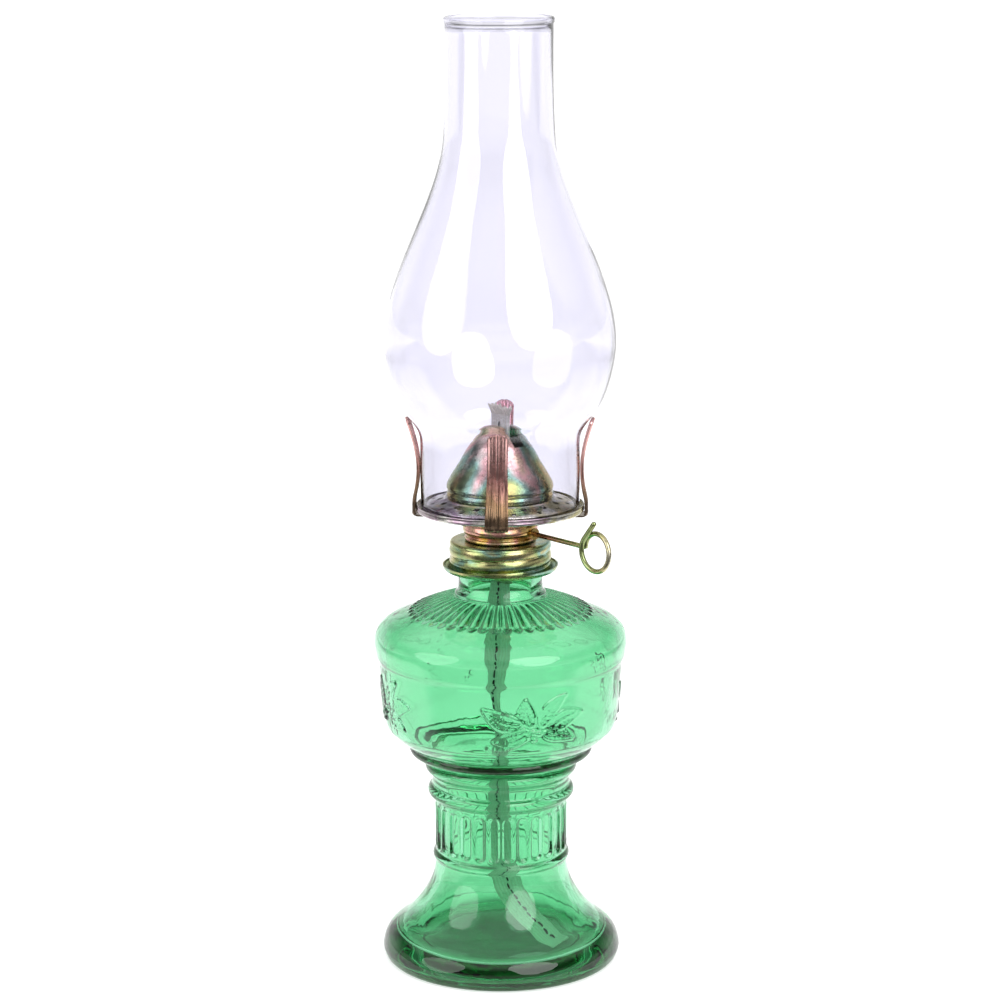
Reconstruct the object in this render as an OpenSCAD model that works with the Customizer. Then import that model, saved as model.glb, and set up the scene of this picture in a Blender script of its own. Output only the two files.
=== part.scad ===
// Oil table lamp: a pressed glass font on a hollow pedestal foot, a screw-on burner
// with a flat wick and a four-pronged gallery, and a blown glass chimney.
// Millimetres, +Z up, origin at the centre of the foot's underside.

/* [Font] */
// Radius of the pedestal foot
foot_r = 40.6; // [38:0.1:41]
// Radius of the fluted waist
waist_r = 22.4; // [21.5:0.1:22.8]
// Radius of the bowl at its widest, which is the shoulder
bowl_r = 42.6; // [42.4:0.1:44]
// Outer radius of the glass neck
neck_r = 14.2; // [14:0.1:14.3]
// Radius of the hole through the neck
neck_bore_r = 11; // [10.8:0.1:11.2]
// Number of flutes round the waist
flutes = 28; // [20:1:32]

/* [Screw cap and cup] */
// Radius inside the screw cap
cap_bore_r = 15.8; // [15.7:0.1:15.9]
// Height of the screw cap's lower edge above the table
cap_z = 136; // [135.8:0.1:136.2]

/* [Gallery and dome] */
// Radius of the gallery's upright rim
rim_r = 28.2; // [28:0.1:28.4]
// Angle by which the set of prongs is turned from the lamp's front
prong_turn = -2; // [-5:0.5:5]
// Angle that a prong spans round the lamp
prong_span = 17; // [12:1:20]
// Largest radius of the dome
dome_r = 17.8; // [17.5:0.1:18]
// Height of the dome's top
dome_top_z = 185.2; // [185:0.1:186]
// Thickness of the plated sheet steel
sheet = 0.5; // [0.4:0.05:0.6]

/* [Wick] */
// Width of the flat wick
wick_w = 9.5; // [9:0.1:9.6]
// Thickness of the flat wick
wick_t = 1.6; // [1.4:0.1:1.6]
// Height of the wick's lit edge
wick_top_z = 191; // [188:0.5:193]

/* [Wick key] */
// Direction in which the key points, seen from above
key_angle = -50; // [-60:1:-40]
// Height of the key's shaft
key_z = 149.5; // [149.4:0.1:149.6]
// Thickness of the key's wire
wire_d = 1.7; // [1.5:0.1:1.8]
// Radius of the key's finger loop, at the middle of the wire
loop_r = 6.2; // [5.5:0.1:6.5]
// Radius of the spur wheels that carry the wick
wheel_r = 3.2; // [3.2]

/* [Chimney] */
// Radius of the chimney where the prongs grip it
fitter_r = 26.7; // [26.6:0.1:26.8]
// Radius of the chimney's bulge
bulge_r = 38.7; // [38:0.1:39]
// Radius of the chimney's mouth
mouth_r = 18; // [17:0.1:19]
// Thickness of the chimney's glass
chimney_wall = 1.5; // [1.2:0.1:1.6]
// Height of the whole lamp
lamp_h = 320; // [310:1:330]

/* [Hidden] */

$fn = 96;
gap = 0.05;                                  // play between pieces that are fixed together
neck_top_z = 143.2;
cap_top_z = 146.2;
cup_top_z = 151.9;
rim_z = 156.5;                               // lower edge of the gallery's rim
rim_h = 2.1;
seat_z = 157.3;                              // where the chimney stands in the gallery
plate_z = 158.9;                             // outer edge of the perforated air plate
dome_z = 161.15;
tube_bottom_z = 132;
tube_top_z = 181;
tube_wall = 0.5;
slot_w = wick_w + 0.6;                       // inside of the wick tube
slot_t = wick_t + 0.6;
shaft_y = wick_t / 2 + wheel_r + gap;        // the key's shaft lies beside the wick
wheel_x = 2.4;
wheel_w = 1.2;
shaft_end_x = -7.5;
loop_x = 44.7;                               // centre of the finger loop along the shaft
loop_drop = 0.7;
vent_y = -6.4;
vent_r = 1.6;
flute_r = 3;
flute_depth = 0.7;
flute_z0 = 39.2;
flute_z1 = 54.4;
hook_r = 24;                                 // how far in the prongs' hooks reach

// Points of a smooth curve through the given points
function curve(p, n = 6) = concat([for (i = [0 : len(p) - 2], k = [0 : n - 1])
    let (a = p[max(i - 1, 0)], b = p[i], c = p[i + 1], d = p[min(i + 2, len(p) - 1)], t = k / n)
    0.5 * (2 * b + (c - a) * t + (2 * a - 5 * b + 4 * c - d) * t * t
        + (3 * b - a - 3 * c + d) * t * t * t)], [p[len(p) - 1]]);
function reversed(p) = [for (i = [len(p) - 1 : -1 : 0]) p[i]];
// A sheet between a curve and the same curve moved by d
function sheet_outline(p, d) = concat(p, reversed([for (q = p) q + d]));

module stadium(width, thickness) {
    square([width - thickness, thickness], center = true);
    for (side = [-1, 1]) translate([side * (width - thickness) / 2, 0]) circle(r = thickness / 2);
}
module bead(z, r, bead_r) {
    rotate_extrude() translate([r - bead_r, z]) circle(r = bead_r, $fn = 32);
}
// Turns a piece from its own frame, with the key's shaft along +X, into place
module along_key() {
    rotate([0, 0, key_angle]) children();
}

// ---- glass font ----
foot_curve = curve([[foot_r - 2.4, 0], [foot_r - 0.5, 2], [foot_r, 4.8], [foot_r - 2, 9.6],
    [foot_r - 8.8, 15.4], [26.6, 22], [23.3, 29], [waist_r - 0.1, 36]], 5);
bowl_curve = curve([[31.4, 76], [35.6, 79.2], [38.6, 82.4], [39.7, 86.5], [40.2, 92],
    [41, 101], [41.2, 105.4]], 4);
shoulder_curve = curve([[41.5, 106], [42.3, 108.5], [bowl_r, 111.8], [bowl_r - 1, 115.6],
    [38.4, 118.4], [31.8, 121.2], [25, 124], [18.9, 126.2], [neck_r + 0.4, 127.4]], 5);
font_outline = concat([[0, 0]], foot_curve, [[waist_r - 0.1, 57], [23.4, 63.4], [23.6, 71.2],
    [27.4, 72.2], [30.7, 73], [31.2, 74.6], [30.8, 75.7]], bowl_curve, shoulder_curve,
    [[neck_r, 128], [neck_r, neck_top_z], [0, neck_top_z]]);
cavity_curve = concat([[0, 5.5]], curve([[28, 5.5], [33.5, 7], [33.2, 9.8], [27, 15],
    [22.6, 21.6], [19.8, 29], [18.8, 36]], 4), [[18.8, 60]], curve([[19, 68], [22.5, 72.8],
    [29.4, 76.6], [34.8, 81], [36.9, 86], [37.8, 96], [38.8, 106], [39.3, 111.8], [37.4, 115.2],
    [30.4, 118.5], [21.4, 121.8], [13.4, 124.4], [neck_bore_r, 127.6]], 4),
    [[neck_bore_r, neck_top_z + 1], [0, neck_top_z + 1]]);

module font() {
    color("seagreen", 0.6) difference() {
        union() {
            rotate_extrude() polygon(font_outline);
            bead(36.6, 23.3, 1.9);
            bead(59.6, 24.9, 2.3);
            bead(68.4, 25.9, 2.7);
            bead(127, neck_r + 0.9, 0.9);
            for (z = [138.6, 141.6]) bead(z, neck_r + 0.9, 0.8);
        }
        rotate_extrude() polygon(cavity_curve);
        cylinder(r = 27, h = 1.6, center = true);
        for (i = [0 : flutes - 1]) rotate([0, 0, i * 360 / flutes])
            translate([waist_r + flute_r - flute_depth, 0, flute_z0])
                cylinder(r = flute_r, h = flute_z1 - flute_z0, $fn = 32);
    }
}

// ---- burner body ----
module neck_gasket() {
    color("saddlebrown") difference() {
        translate([0, 0, neck_top_z + gap]) cylinder(r = cap_bore_r - 0.6, h = 2.1);
        translate([0, 0, neck_top_z - 1]) cylinder(r = neck_bore_r + 0.3, h = 5);
    }
}

// The cap's rolled wall is one thin sheet with an upturned lip
cap_wall = curve([[18.7, cap_z + 2], [18.5, cap_z + 0.9], [17.4, cap_z + 0.4], [16.9, cap_z + 1.8],
    [17.4, cap_z + 3.1], [16.7, cap_z + 4.4], [17.4, cap_z + 5.8], [16.8, cap_z + 7.1],
    [17.4, cap_z + 8.3], [16.9, cap_z + 9.5], [15.6, cap_top_z]], 5);
module screw_cap() {
    color("darkkhaki") difference() {
        rotate_extrude() polygon(concat(cap_wall, [[11, cap_top_z], [11, cap_top_z - 0.7],
            [15.2, cap_top_z - 0.7], [cap_bore_r, cap_top_z - 1.2], [cap_bore_r, cap_z - 0.1],
            [17.6, cap_z - 0.2], [18.9, cap_z + 0.5], [19.1, cap_z + 2]]));
        translate([0, 0, cap_z - 1]) cylinder(r = cap_bore_r, h = 9.5);
    }
}

cup_r = 10.9;                                // the cup's neck, inside the cap
cup_curve = concat([[cup_r, 144.6], [cup_r, cap_top_z + gap], [11.8, cap_top_z + gap + 0.1],
    [12, 147], [11.8, 147.6], [11.4, 148]], curve([[11.5, 148.2], [12.4, 149.2], [12.6, 150.4],
    [12.4, cup_top_z]], 4));
module burner_cup() {
    color("goldenrod") difference() {
        rotate_extrude() polygon(sheet_outline(cup_curve, [-sheet, 0]));
        along_key() translate([5, shaft_y, key_z]) rotate([0, 90, 0]) cylinder(r = 1.5, h = 10);
    }
}

// Closes the cup below and carries the wick tube and the vent
module tube_plate() {
    color("darkkhaki") difference() {
        translate([0, 0, 144.7]) cylinder(r = cup_r - sheet - gap, h = 0.7);
        along_key() translate([0, 0, 144]) linear_extrude(2)
            stadium(slot_w + 2 * tube_wall + 2 * gap, slot_t + 2 * tube_wall + 2 * gap);
        along_key() translate([0, vent_y, 144]) cylinder(r = vent_r + gap, h = 2);
    }
}

// Flat tube round the wick, with a window where the spur wheels reach it
module wick_tube() {
    color("darkgoldenrod") along_key() difference() {
        translate([0, 0, tube_bottom_z]) linear_extrude(tube_top_z - tube_bottom_z)
            stadium(slot_w + 2 * tube_wall, slot_t + 2 * tube_wall);
        translate([0, 0, tube_bottom_z - 1]) linear_extrude(tube_top_z - tube_bottom_z + 2)
            stadium(slot_w, slot_t);
        for (side = [-1, 1]) translate([side * wheel_x - 0.9, 0, key_z - 2.8]) cube([1.8, 4, 5.6]);
    }
}

module vent_tube() {
    color("darkgoldenrod") along_key() translate([0, vent_y, 133]) difference() {
        cylinder(r = vent_r, h = 27);
        translate([0, 0, -1]) cylinder(r = vent_r - 0.4, h = 29);
    }
}

// Bracket that carries the inner end of the key's shaft
module shaft_cradle() {
    color("darkkhaki") along_key() difference() {
        translate([-6.6, shaft_y - 2, 145.5]) cube([0.8, 4, 6]);
        translate([-8, shaft_y, key_z]) rotate([0, 90, 0]) cylinder(r = wire_d / 2 + gap, h = 4);
    }
}

// Eyelet that lines the hole in the cup
module shaft_bush() {
    color("goldenrod") along_key() translate([9.6, shaft_y, key_z]) rotate([0, 90, 0])
        difference() {
            union() {
                cylinder(r = 1.4, h = 3.4);
                translate([0, 0, 3]) cylinder(r = 2, h = 0.5);
            }
            translate([0, 0, -1]) cylinder(r = wire_d / 2 + gap, h = 6);
        }
}

// ---- gallery, air plate and dome ----
gallery_curve = concat(curve([[11.9, cup_top_z + 0.1], [14.6, 152.3], [18, 153.8], [24, 155.9],
    [rim_r - 0.9, rim_z + 0.1]], 3), [[rim_r, rim_z + 0.5], [rim_r, rim_z + rim_h]]);
gallery_lining = concat([[rim_r - 0.6, rim_z + rim_h], [rim_r - 0.6, rim_z + 0.7]],
    curve([[rim_r - 1.2, rim_z + 0.65], [24, 156.5], [18, 154.4], [14.6, 152.9],
    [11.9, 152.6]], 3));
module gallery() {
    color("darkkhaki") difference() {
        rotate_extrude() polygon(concat(gallery_curve, gallery_lining));
        for (i = [0 : 11]) rotate([0, 0, 15 + i * 30]) translate([20.5, 0, 150])
            cylinder(r = 1.2, h = 10, $fn = 24);
    }
}

// Perforated plate that spreads the air and carries the dome
module air_plate() {
    color("olive") difference() {
        rotate_extrude() polygon([[9, 161.1], [17.6, 161.1], [18.6, 160.7], [24.5, plate_z],
            [24.8, plate_z - 0.5], [24.8, 156.9], [24.3, 156.9], [24.3, plate_z - 0.6],
            [18.4, 160.2], [17.6, 160.6], [9, 160.6]]);
        for (i = [0 : 15]) rotate([0, 0, i * 22.5]) {
            translate([20, 0, 155]) cylinder(r = 1.1, h = 10, $fn = 24);
            rotate([0, 0, 11.25]) translate([22.8, 0, 155]) cylinder(r = 0.8, h = 10, $fn = 24);
        }
        for (i = [0 : 7]) rotate([0, 0, 22.5 + i * 45]) translate([13, 0, 155])
            cylinder(r = 1.6, h = 10, $fn = 24);
    }
}

dome_curve = curve([[dome_r - 0.4, dome_z], [dome_r, 163.6], [dome_r - 0.3, 165.8],
    [16.1, 168.6], [13.4, 173], [11.3, 177.2], [8.8, 181.4], [5.6, 184.2], [0, dome_top_z]], 5);
module dome() {
    color("yellowgreen") difference() {
        rotate_extrude() polygon(concat(dome_curve, reversed([for (q = dome_curve)
            [max(q[0] - 0.6, 0), q[1] - (q[0] < 9 ? 0.6 : 0)]])));
        along_key() translate([0, 0, 188]) cube([20.6, 4.2, 17], center = true);
    }
}

// ---- prongs ----
prong_curve = curve([[28.9, rim_z - 0.9], [28.8, 160], [27.9, 164.2], [27.4, 168.5],
    [27.4, 173], [28.2, 178], [29.8, 184], [31.6, 188.4]], 4);
prong_hook = [[29.2, rim_z - 1.5], [hook_r, rim_z - 1.9], [hook_r, rim_z - 1.4]];
module prong(angle) {
    color("indianred") rotate([0, 0, angle + prong_turn - prong_span / 2]) rotate_extrude(angle = prong_span)
        polygon(concat([for (q = prong_curve) q - [0.3, 0]],
            reversed([for (q = prong_curve) q + [0.3, 0]]), prong_hook));
}
module prong_right() { prong(0); }
module prong_back() { prong(90); }
module prong_left() { prong(180); }
module prong_front() { prong(270); }

// ---- wick key ----
// The shaft's wire runs into a ring that it closes once, then leaves it as a short free end
loop_turn = 400;                             // degrees that the wire turns round the loop
loop_steps = 32;
free_end = 8;
loop_lean = 1.9;                             // how far the ring's end lies in front of its start
function loop_point(a) = [loop_x - loop_r * cos(a), shaft_y - loop_lean * a / loop_turn,
    key_z - loop_drop + loop_r * sin(a)];
key_path = concat([[shaft_end_x, shaft_y, key_z], [loop_x - loop_r - 2, shaft_y, key_z]],
    [for (i = [1 : loop_steps]) loop_point(i * loop_turn / loop_steps)],
    [loop_point(loop_turn) + free_end * [sin(loop_turn), 0, cos(loop_turn)]]);
function unit(v) = v / norm(v);
// A round wire of n sides swept along points that keep near the XZ plane
module wire(p, r, n = 10) {
    side = [0, 1, 0];
    tangents = [for (i = [0 : len(p) - 1]) unit(p[min(i + 1, len(p) - 1)] - p[max(i - 1, 0)])];
    points = [for (i = [0 : len(p) - 1], k = [0 : n - 1])
        let (u = unit(cross(side, tangents[i])), v = cross(tangents[i], u), a = k * 360 / n)
        p[i] + r * (cos(a) * u + sin(a) * v)];
    last = (len(p) - 1) * n;
    faces = concat([[for (k = [0 : n - 1]) k]],
        [for (i = [0 : len(p) - 2], k = [0 : n - 1]) let (m = (k + 1) % n)
            [i * n + k, (i + 1) * n + k, (i + 1) * n + m, i * n + m]],
        [[for (k = [n - 1 : -1 : 0]) last + k]]);
    polyhedron(points, faces);
}
module wick_key() {
    color("rosybrown") along_key() {
        translate([shaft_end_x, shaft_y, key_z]) rotate([0, 90, 0])
            cylinder(r = wire_d / 2, h = loop_x - loop_r - 2 - shaft_end_x);
        wire([for (i = [1 : len(key_path) - 1]) key_path[i]], wire_d / 2);
    }
}
module spur_wheel(x) {
    color("silver") along_key() translate([x - wheel_w / 2, shaft_y, key_z]) rotate([0, 90, 0])
        difference() {
            linear_extrude(wheel_w) union() {
                circle(r = wheel_r - 0.8);
                for (i = [0 : 11]) rotate(i * 30)
                    polygon([[1, -0.7], [wheel_r - 0.1, -0.15], [wheel_r - 0.1, 0.15], [1, 0.7]]);
            }
            translate([0, 0, -1]) cylinder(r = wire_d / 2 + 0.02, h = 4);
        }
}
module spur_wheel_inner() { spur_wheel(-wheel_x); }
module spur_wheel_outer() { spur_wheel(wheel_x); }
// Ring pressed on the shaft inside the bush, which keeps the key from sliding out
module shaft_collar() {
    color("silver") along_key() translate([7.9, shaft_y, key_z]) rotate([0, 90, 0]) difference() {
        cylinder(r = 1.6, h = 1.2);
        translate([0, 0, -1]) cylinder(r = wire_d / 2 + 0.02, h = 4);
    }
}

// ---- wick ----
wick_bottom_z = 133;
module wick() {
    color("ivory") along_key() translate([0, 0, wick_bottom_z])
        linear_extrude(wick_top_z - wick_bottom_z) stadium(wick_w, wick_t);
}
// Route of the wick below the burner, and how far it has turned from the key's direction
tail_route = [[0, 0, 133], [-0.3, 0, 127], [-0.8, 0, 120], [-1.1, 0, 113], [-1.2, 0, 106],
    [-1.5, 0, 100], [-1.9, 0, 94], [-1.4, -0.2, 88], [-0.4, -0.4, 82], [0.2, -0.5, 76],
    [0, -0.5, 70], [-0.4, -0.4, 64], [-0.8, -0.2, 58], [-0.8, 0, 52], [-0.6, -0.2, 46],
    [-0.2, -0.8, 40], [0.5, -1.8, 34.5], [1.6, -3.2, 29.3], [3.2, -4.9, 24.2], [5.9, -6.8, 19.4],
    [9.6, -8.8, 14.9], [13.3, -10.5, 11.8], [16.8, -12.1, 9.3], [20, -13.7, 7.4]];
tail_turn = [0, 9, 20, 25, 18, 2, -18, -28, -26, -20, -10, 0, 8, 14, 20, 28, 38, 50, 62, 74,
    82, 86, 88, 88];
module wick_tail() {
    n = 8;
    last = len(tail_route) - 1;
    tangents = [for (i = [0 : last])
        unit(tail_route[min(i + 1, last)] - tail_route[max(i - 1, 0)])];
    points = [for (i = [0 : last], k = [0 : n - 1])
        let (flat_angle = key_angle + tail_turn[i], wide = [cos(flat_angle), sin(flat_angle), 0],
            t = tangents[i], v = unit(cross(t, wide)), u = cross(v, t), a = 22.5 + k * 45,
            across = sign(cos(a)) * pow(abs(cos(a)), 0.4), through = sign(sin(a)))
        tail_route[i] + across * 0.98 * wick_w / 2 * u
            + through * wick_t / 2 * (abs(sin(a)) > 0.5 ? 1 : 0.6) * v];
    faces = concat([[for (k = [n - 1 : -1 : 0]) k]],
        [for (i = [0 : last - 1], k = [0 : n - 1], half = [0, 1])
            let (m = (k + 1) % n, a = i * n, b = (i + 1) * n)
            half == 0 ? [a + k, a + m, b + m] : [a + k, b + m, b + k]],
        [[for (k = [0 : n - 1]) last * n + k]]);
    color("ivory") polyhedron(points, faces);
}

// ---- chimney ----
chimney_curve = concat([[fitter_r, seat_z]], curve([[fitter_r, 176], [fitter_r + 0.1, 181.4],
    [fitter_r + 1, 184.4], [30, 187.4], [32.4, 190], [35, 195.2], [37.4, 203.4], [bulge_r, 213],
    [37.4, 224], [33.6, 236.4], [28.4, 249.4], [23.5, 261.4], [20.6, 270], [18.9, 277.4],
    [mouth_r + 0.2, 286]], 6), [[mouth_r - 0.2, 300], [mouth_r - 0.2, lamp_h - 1]]);
module chimney() {
    color("lavender", 0.35) union() {
        rotate_extrude() polygon(sheet_outline(chimney_curve, [-chimney_wall, 0]));
        bead(lamp_h - 1, mouth_r, 1);
    }
}

font();
neck_gasket();
screw_cap();
tube_plate();
burner_cup();
wick_tube();
vent_tube();
shaft_cradle();
shaft_bush();
gallery();
air_plate();
dome();
prong_right();
prong_back();
prong_left();
prong_front();
wick_key();
spur_wheel_inner();
spur_wheel_outer();
shaft_collar();
wick();
wick_tail();
chimney();
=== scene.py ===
import math

import bpy
import numpy as np
from mathutils import Matrix, Vector


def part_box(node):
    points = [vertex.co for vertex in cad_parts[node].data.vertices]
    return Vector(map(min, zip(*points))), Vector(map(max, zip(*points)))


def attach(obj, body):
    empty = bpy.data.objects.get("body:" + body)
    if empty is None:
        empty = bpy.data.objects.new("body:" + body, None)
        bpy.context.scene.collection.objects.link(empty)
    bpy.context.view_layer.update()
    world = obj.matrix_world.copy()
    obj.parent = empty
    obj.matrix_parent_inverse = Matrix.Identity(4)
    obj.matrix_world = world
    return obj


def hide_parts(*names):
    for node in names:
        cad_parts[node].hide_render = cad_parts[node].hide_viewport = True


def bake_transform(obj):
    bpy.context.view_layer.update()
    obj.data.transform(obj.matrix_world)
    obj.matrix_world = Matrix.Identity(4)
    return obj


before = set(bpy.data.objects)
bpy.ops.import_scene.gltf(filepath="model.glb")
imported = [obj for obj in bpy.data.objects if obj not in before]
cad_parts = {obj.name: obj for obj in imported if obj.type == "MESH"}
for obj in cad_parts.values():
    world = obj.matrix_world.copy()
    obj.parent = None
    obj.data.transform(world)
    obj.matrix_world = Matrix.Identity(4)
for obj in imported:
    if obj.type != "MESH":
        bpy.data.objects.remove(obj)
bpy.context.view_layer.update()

# An oil table lamp. Lengths are millimetres until make() turns a mesh into metres.
MM = 0.001
KEY_ANGLE = -50                      # direction in which the wick key points, seen from above
PRONG_TURN = -2                      # how far the set of prongs is turned from the lamp's front


def top_of(node):
    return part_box(node)[1].z / MM


def bottom_of(node):
    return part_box(node)[0].z / MM


NECK_TOP = top_of("font")
LAMP_H = top_of("chimney")
SEAT_Z = bottom_of("chimney")
DOME_TOP = top_of("dome")
WICK_TOP = top_of("wick")
WICK_BOTTOM = bottom_of("wick")
FOOT_R = 40.6
BOWL_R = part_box("font")[1].x / MM
KEY_Z = 149.5                        # height of the wick key's shaft
SHAFT_Y = 4.05                       # how far the shaft lies beside the wick
WICK_W = 9.5
WICK_T = 1.6


# ---------------------------------------------------------------- camera
def make_camera():
    """A long lens a metre in front of the lamp, looking 12 degrees down."""
    look_down, tilt = 12, -0.146
    data = bpy.data.cameras.new("camera")
    data.sensor_width = 36
    data.lens = 109.4
    camera = bpy.data.objects.new("camera", data)
    bpy.context.scene.collection.objects.link(camera)
    pitch = Matrix.Rotation(math.radians(90 - look_down), 4, "X")
    roll = Matrix.Rotation(math.radians(tilt), 4, "Z")
    camera.matrix_world = Matrix.Translation((0.00027, -0.998, 0.3714)) @ pitch @ roll
    bpy.context.scene.camera = camera


make_camera()


# ---------------------------------------------------------------- outlines and meshes
def curve(points, steps):
    """A smooth curve through the points, with so many steps between two of them."""
    p = [np.array(q, float) for q in points]
    out = []
    for i in range(len(p) - 1):
        a, b, c, d = p[max(i - 1, 0)], p[i], p[i + 1], p[min(i + 2, len(p) - 1)]
        for k in range(steps):
            t = k / steps
            out.append(0.5 * (2 * b + (c - a) * t + (2 * a - 5 * b + 4 * c - d) * t * t
                              + (3 * b - a - 3 * c + d) * t ** 3))
    return out + [p[-1]]


def arc(centre, radius, start, end, steps):
    """Points on an arc, from one angle to another in degrees."""
    angles = np.radians(np.linspace(start, end, steps + 1))
    return [np.array([centre[0] + radius * math.cos(a), centre[1] + radius * math.sin(a)]) for a in angles]


def smoothstep(x):
    """0 below 0 and 1 above 1, with a soft change between."""
    x = np.clip(x, 0, 1)
    return x * x * (3 - 2 * x)


def resample(points, spacing):
    """The same line with its points about that far apart."""
    p = np.array(points, float)
    length = np.concatenate([[0], np.cumsum(np.linalg.norm(np.diff(p, axis=0), axis=1))])
    at = np.linspace(0, length[-1], max(2, int(round(length[-1] / spacing)) + 1))
    return [np.array([np.interp(s, length, p[:, k]) for k in range(p.shape[1])]) for s in at]


def normals_of(outline, closed):
    """The direction to the right of the outline's way along, at each of its points."""
    ahead, behind = np.roll(outline, -1, 0), np.roll(outline, 1, 0)
    if not closed:
        ahead[-1], behind[0] = outline[-1], outline[0]
    along = ahead - behind
    side = np.stack([along[:, 1], -along[:, 0]], 1)
    return side / np.maximum(np.linalg.norm(side, axis=1, keepdims=True), 1e-9)


def thickened(points, thickness):
    """The closed outline of a sheet whose outer face is the given line."""
    outer = np.array(points, float)
    inner = outer - thickness * normals_of(outer, False)
    return [*outer, *inner[::-1]]


def stitch(a, b):
    """Faces between two rings, each given as the number of its first corner and how many it has."""
    (s, n), (t, m) = a, b
    if n == 1 and m == 1:
        return []
    if n == 1:
        return [(s, t + (i + 1) % m, t + i) for i in range(m)]
    if m == 1:
        return [(s + i, s + (i + 1) % n, t) for i in range(n)]
    if n == m:
        return [(s + i, s + (i + 1) % n, t + (i + 1) % n, t + i) for i in range(n)]
    faces, i, j = [], 0, 0
    while i < n or j < m:
        if j == m or (i < n and (i + 0.5) * m <= (j + 0.5) * n):
            faces.append((s + i % n, s + (i + 1) % n, t + j % m))
            i += 1
        else:
            faces.append((s + i % n, t + (j + 1) % m, t + j % m))
            j += 1
    return faces


ON_AXIS = 1e-6                       # a ring with a smaller radius is one corner


def lathe(sections, closed=False):
    """Corners and faces of a turned shell, in millimetres. A section is (points of radius and height, corners
    round, relief), and relief(r, z, angles) says how far the corners stand out along the outline's normal."""
    outline = np.array([p for s in sections for p in s[0]], float)
    normals = normals_of(outline, closed)
    corners, rings, k = [], [], 0
    for points, count, relief in sections:
        a = np.arange(count) * 2 * math.pi / count
        for r, z in points:
            start = sum(len(c) for c in corners)
            if r < ON_AXIS:
                ring = np.array([[0, 0, z]])
            else:
                out = relief(r, z, a) if relief else np.zeros(count)
                rr, zz = r + out * normals[k, 0], z + out * normals[k, 1]
                ring = np.stack([rr * np.cos(a), rr * np.sin(a), zz], 1)
            corners.append(ring)
            rings.append((start, len(ring)))
            k += 1
    faces = [f for a, b in zip(rings, rings[1:]) for f in stitch(a, b)]
    if closed:
        faces += stitch(rings[-1], rings[0])
    return np.concatenate(corners), faces


def thick_grid(points, normals, thickness):
    """A closed sheet on a grid of points, which is its middle face."""
    p, n = np.array(points, float), np.array(normals, float)
    rows, cols = p.shape[:2]
    upper, lower = p + n * thickness / 2, p - n * thickness / 2
    corners = np.concatenate([upper.reshape(-1, 3), lower.reshape(-1, 3)])
    half = rows * cols
    faces = []
    for i in range(rows - 1):
        for j in range(cols - 1):
            a, b, c, d = i * cols + j, i * cols + j + 1, (i + 1) * cols + j + 1, (i + 1) * cols + j
            faces += [(a, b, c, d), (half + d, half + c, half + b, half + a)]
    rim = ([(0, j) for j in range(cols)] + [(i, cols - 1) for i in range(1, rows)]
           + [(rows - 1, j) for j in range(cols - 2, -1, -1)] + [(i, 0) for i in range(rows - 2, 0, -1)])
    loop = [i * cols + j for i, j in rim]
    for a, b in zip(loop, loop[1:] + loop[:1]):
        faces.append((b, a, half + a, half + b))
    return corners, faces


def tube(path, radius, sides=16, cap=3):
    """A round wire along a path, with rounded ends of cap rings each. The radius may differ by point."""
    p = np.array(path, float)
    tangents = np.gradient(p, axis=0)
    tangents /= np.linalg.norm(tangents, axis=1, keepdims=True)
    u = np.cross(tangents[0], [0.3, 0.9, 0.2])
    rings = []
    for q, t, r in zip(p, tangents, np.broadcast_to(radius, len(p))):
        u = u - t * np.dot(u, t)
        u /= np.linalg.norm(u)
        rings.append((q, u.copy(), np.cross(t, u), r))

    def end_ring(ring, way, bend):
        q, u, v, r = ring
        return q + way * r * math.cos(bend), u, v, r * math.sin(bend)

    bends = [(k + 0.5) / cap * math.pi / 2 for k in range(cap)]
    rings = ([end_ring(rings[0], -tangents[0], a) for a in bends] + rings
             + [end_ring(rings[-1], tangents[-1], a) for a in bends[::-1]])
    angles = np.arange(sides) * 2 * math.pi / sides
    corners = np.concatenate([[q + r * (math.cos(a) * u + math.sin(a) * v) for a in angles]
                              for q, u, v, r in rings])
    last = (len(rings) - 1) * sides
    faces = [(k + i, k + (i + 1) % sides, k + sides + (i + 1) % sides, k + sides + i)
             for k in range(0, last, sides) for i in range(sides)]
    faces += [tuple(range(sides))[::-1], tuple(last + i for i in range(sides))]
    return corners, faces


def joined(parts):
    """Several (corners, faces) pairs as one."""
    corners, faces, start = [], [], 0
    for c, f in parts:
        corners.append(np.array(c))
        faces += [tuple(i + start for i in face) for face in f]
        start += len(c)
    return np.concatenate(corners), faces


def make_mesh(name, geometry):
    """A mesh in metres, from corners in millimetres."""
    corners, faces = geometry
    mesh = bpy.data.meshes.new(name)
    mesh.from_pydata((np.array(corners) * MM).tolist(), [], faces)
    mesh.validate()
    return mesh


def turned(geometry, angle):
    """The geometry turned about the lamp's axis, in degrees."""
    corners, faces = geometry
    c, s = math.cos(math.radians(angle)), math.sin(math.radians(angle))
    return np.array(corners) @ np.array([[c, s, 0], [-s, c, 0], [0, 0, 1]]), faces


def make(name, geometry, material, body, nodes=(), holes=None, sharp=40):
    """One piece of the lamp, in metres, riding on its body in place of its CAD nodes."""
    piece = bpy.data.objects.new(name, make_mesh(name, geometry))
    bpy.context.scene.collection.objects.link(piece)
    if holes is not None:
        cut(piece, holes)
    for polygon in piece.data.polygons:
        polygon.use_smooth = True
    piece.data.set_sharp_from_angle(angle=math.radians(sharp))
    piece.data.materials.clear()
    piece.data.materials.append(material)
    if nodes:
        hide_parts(*nodes)
    if body:
        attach(piece, body)
    return piece


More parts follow.
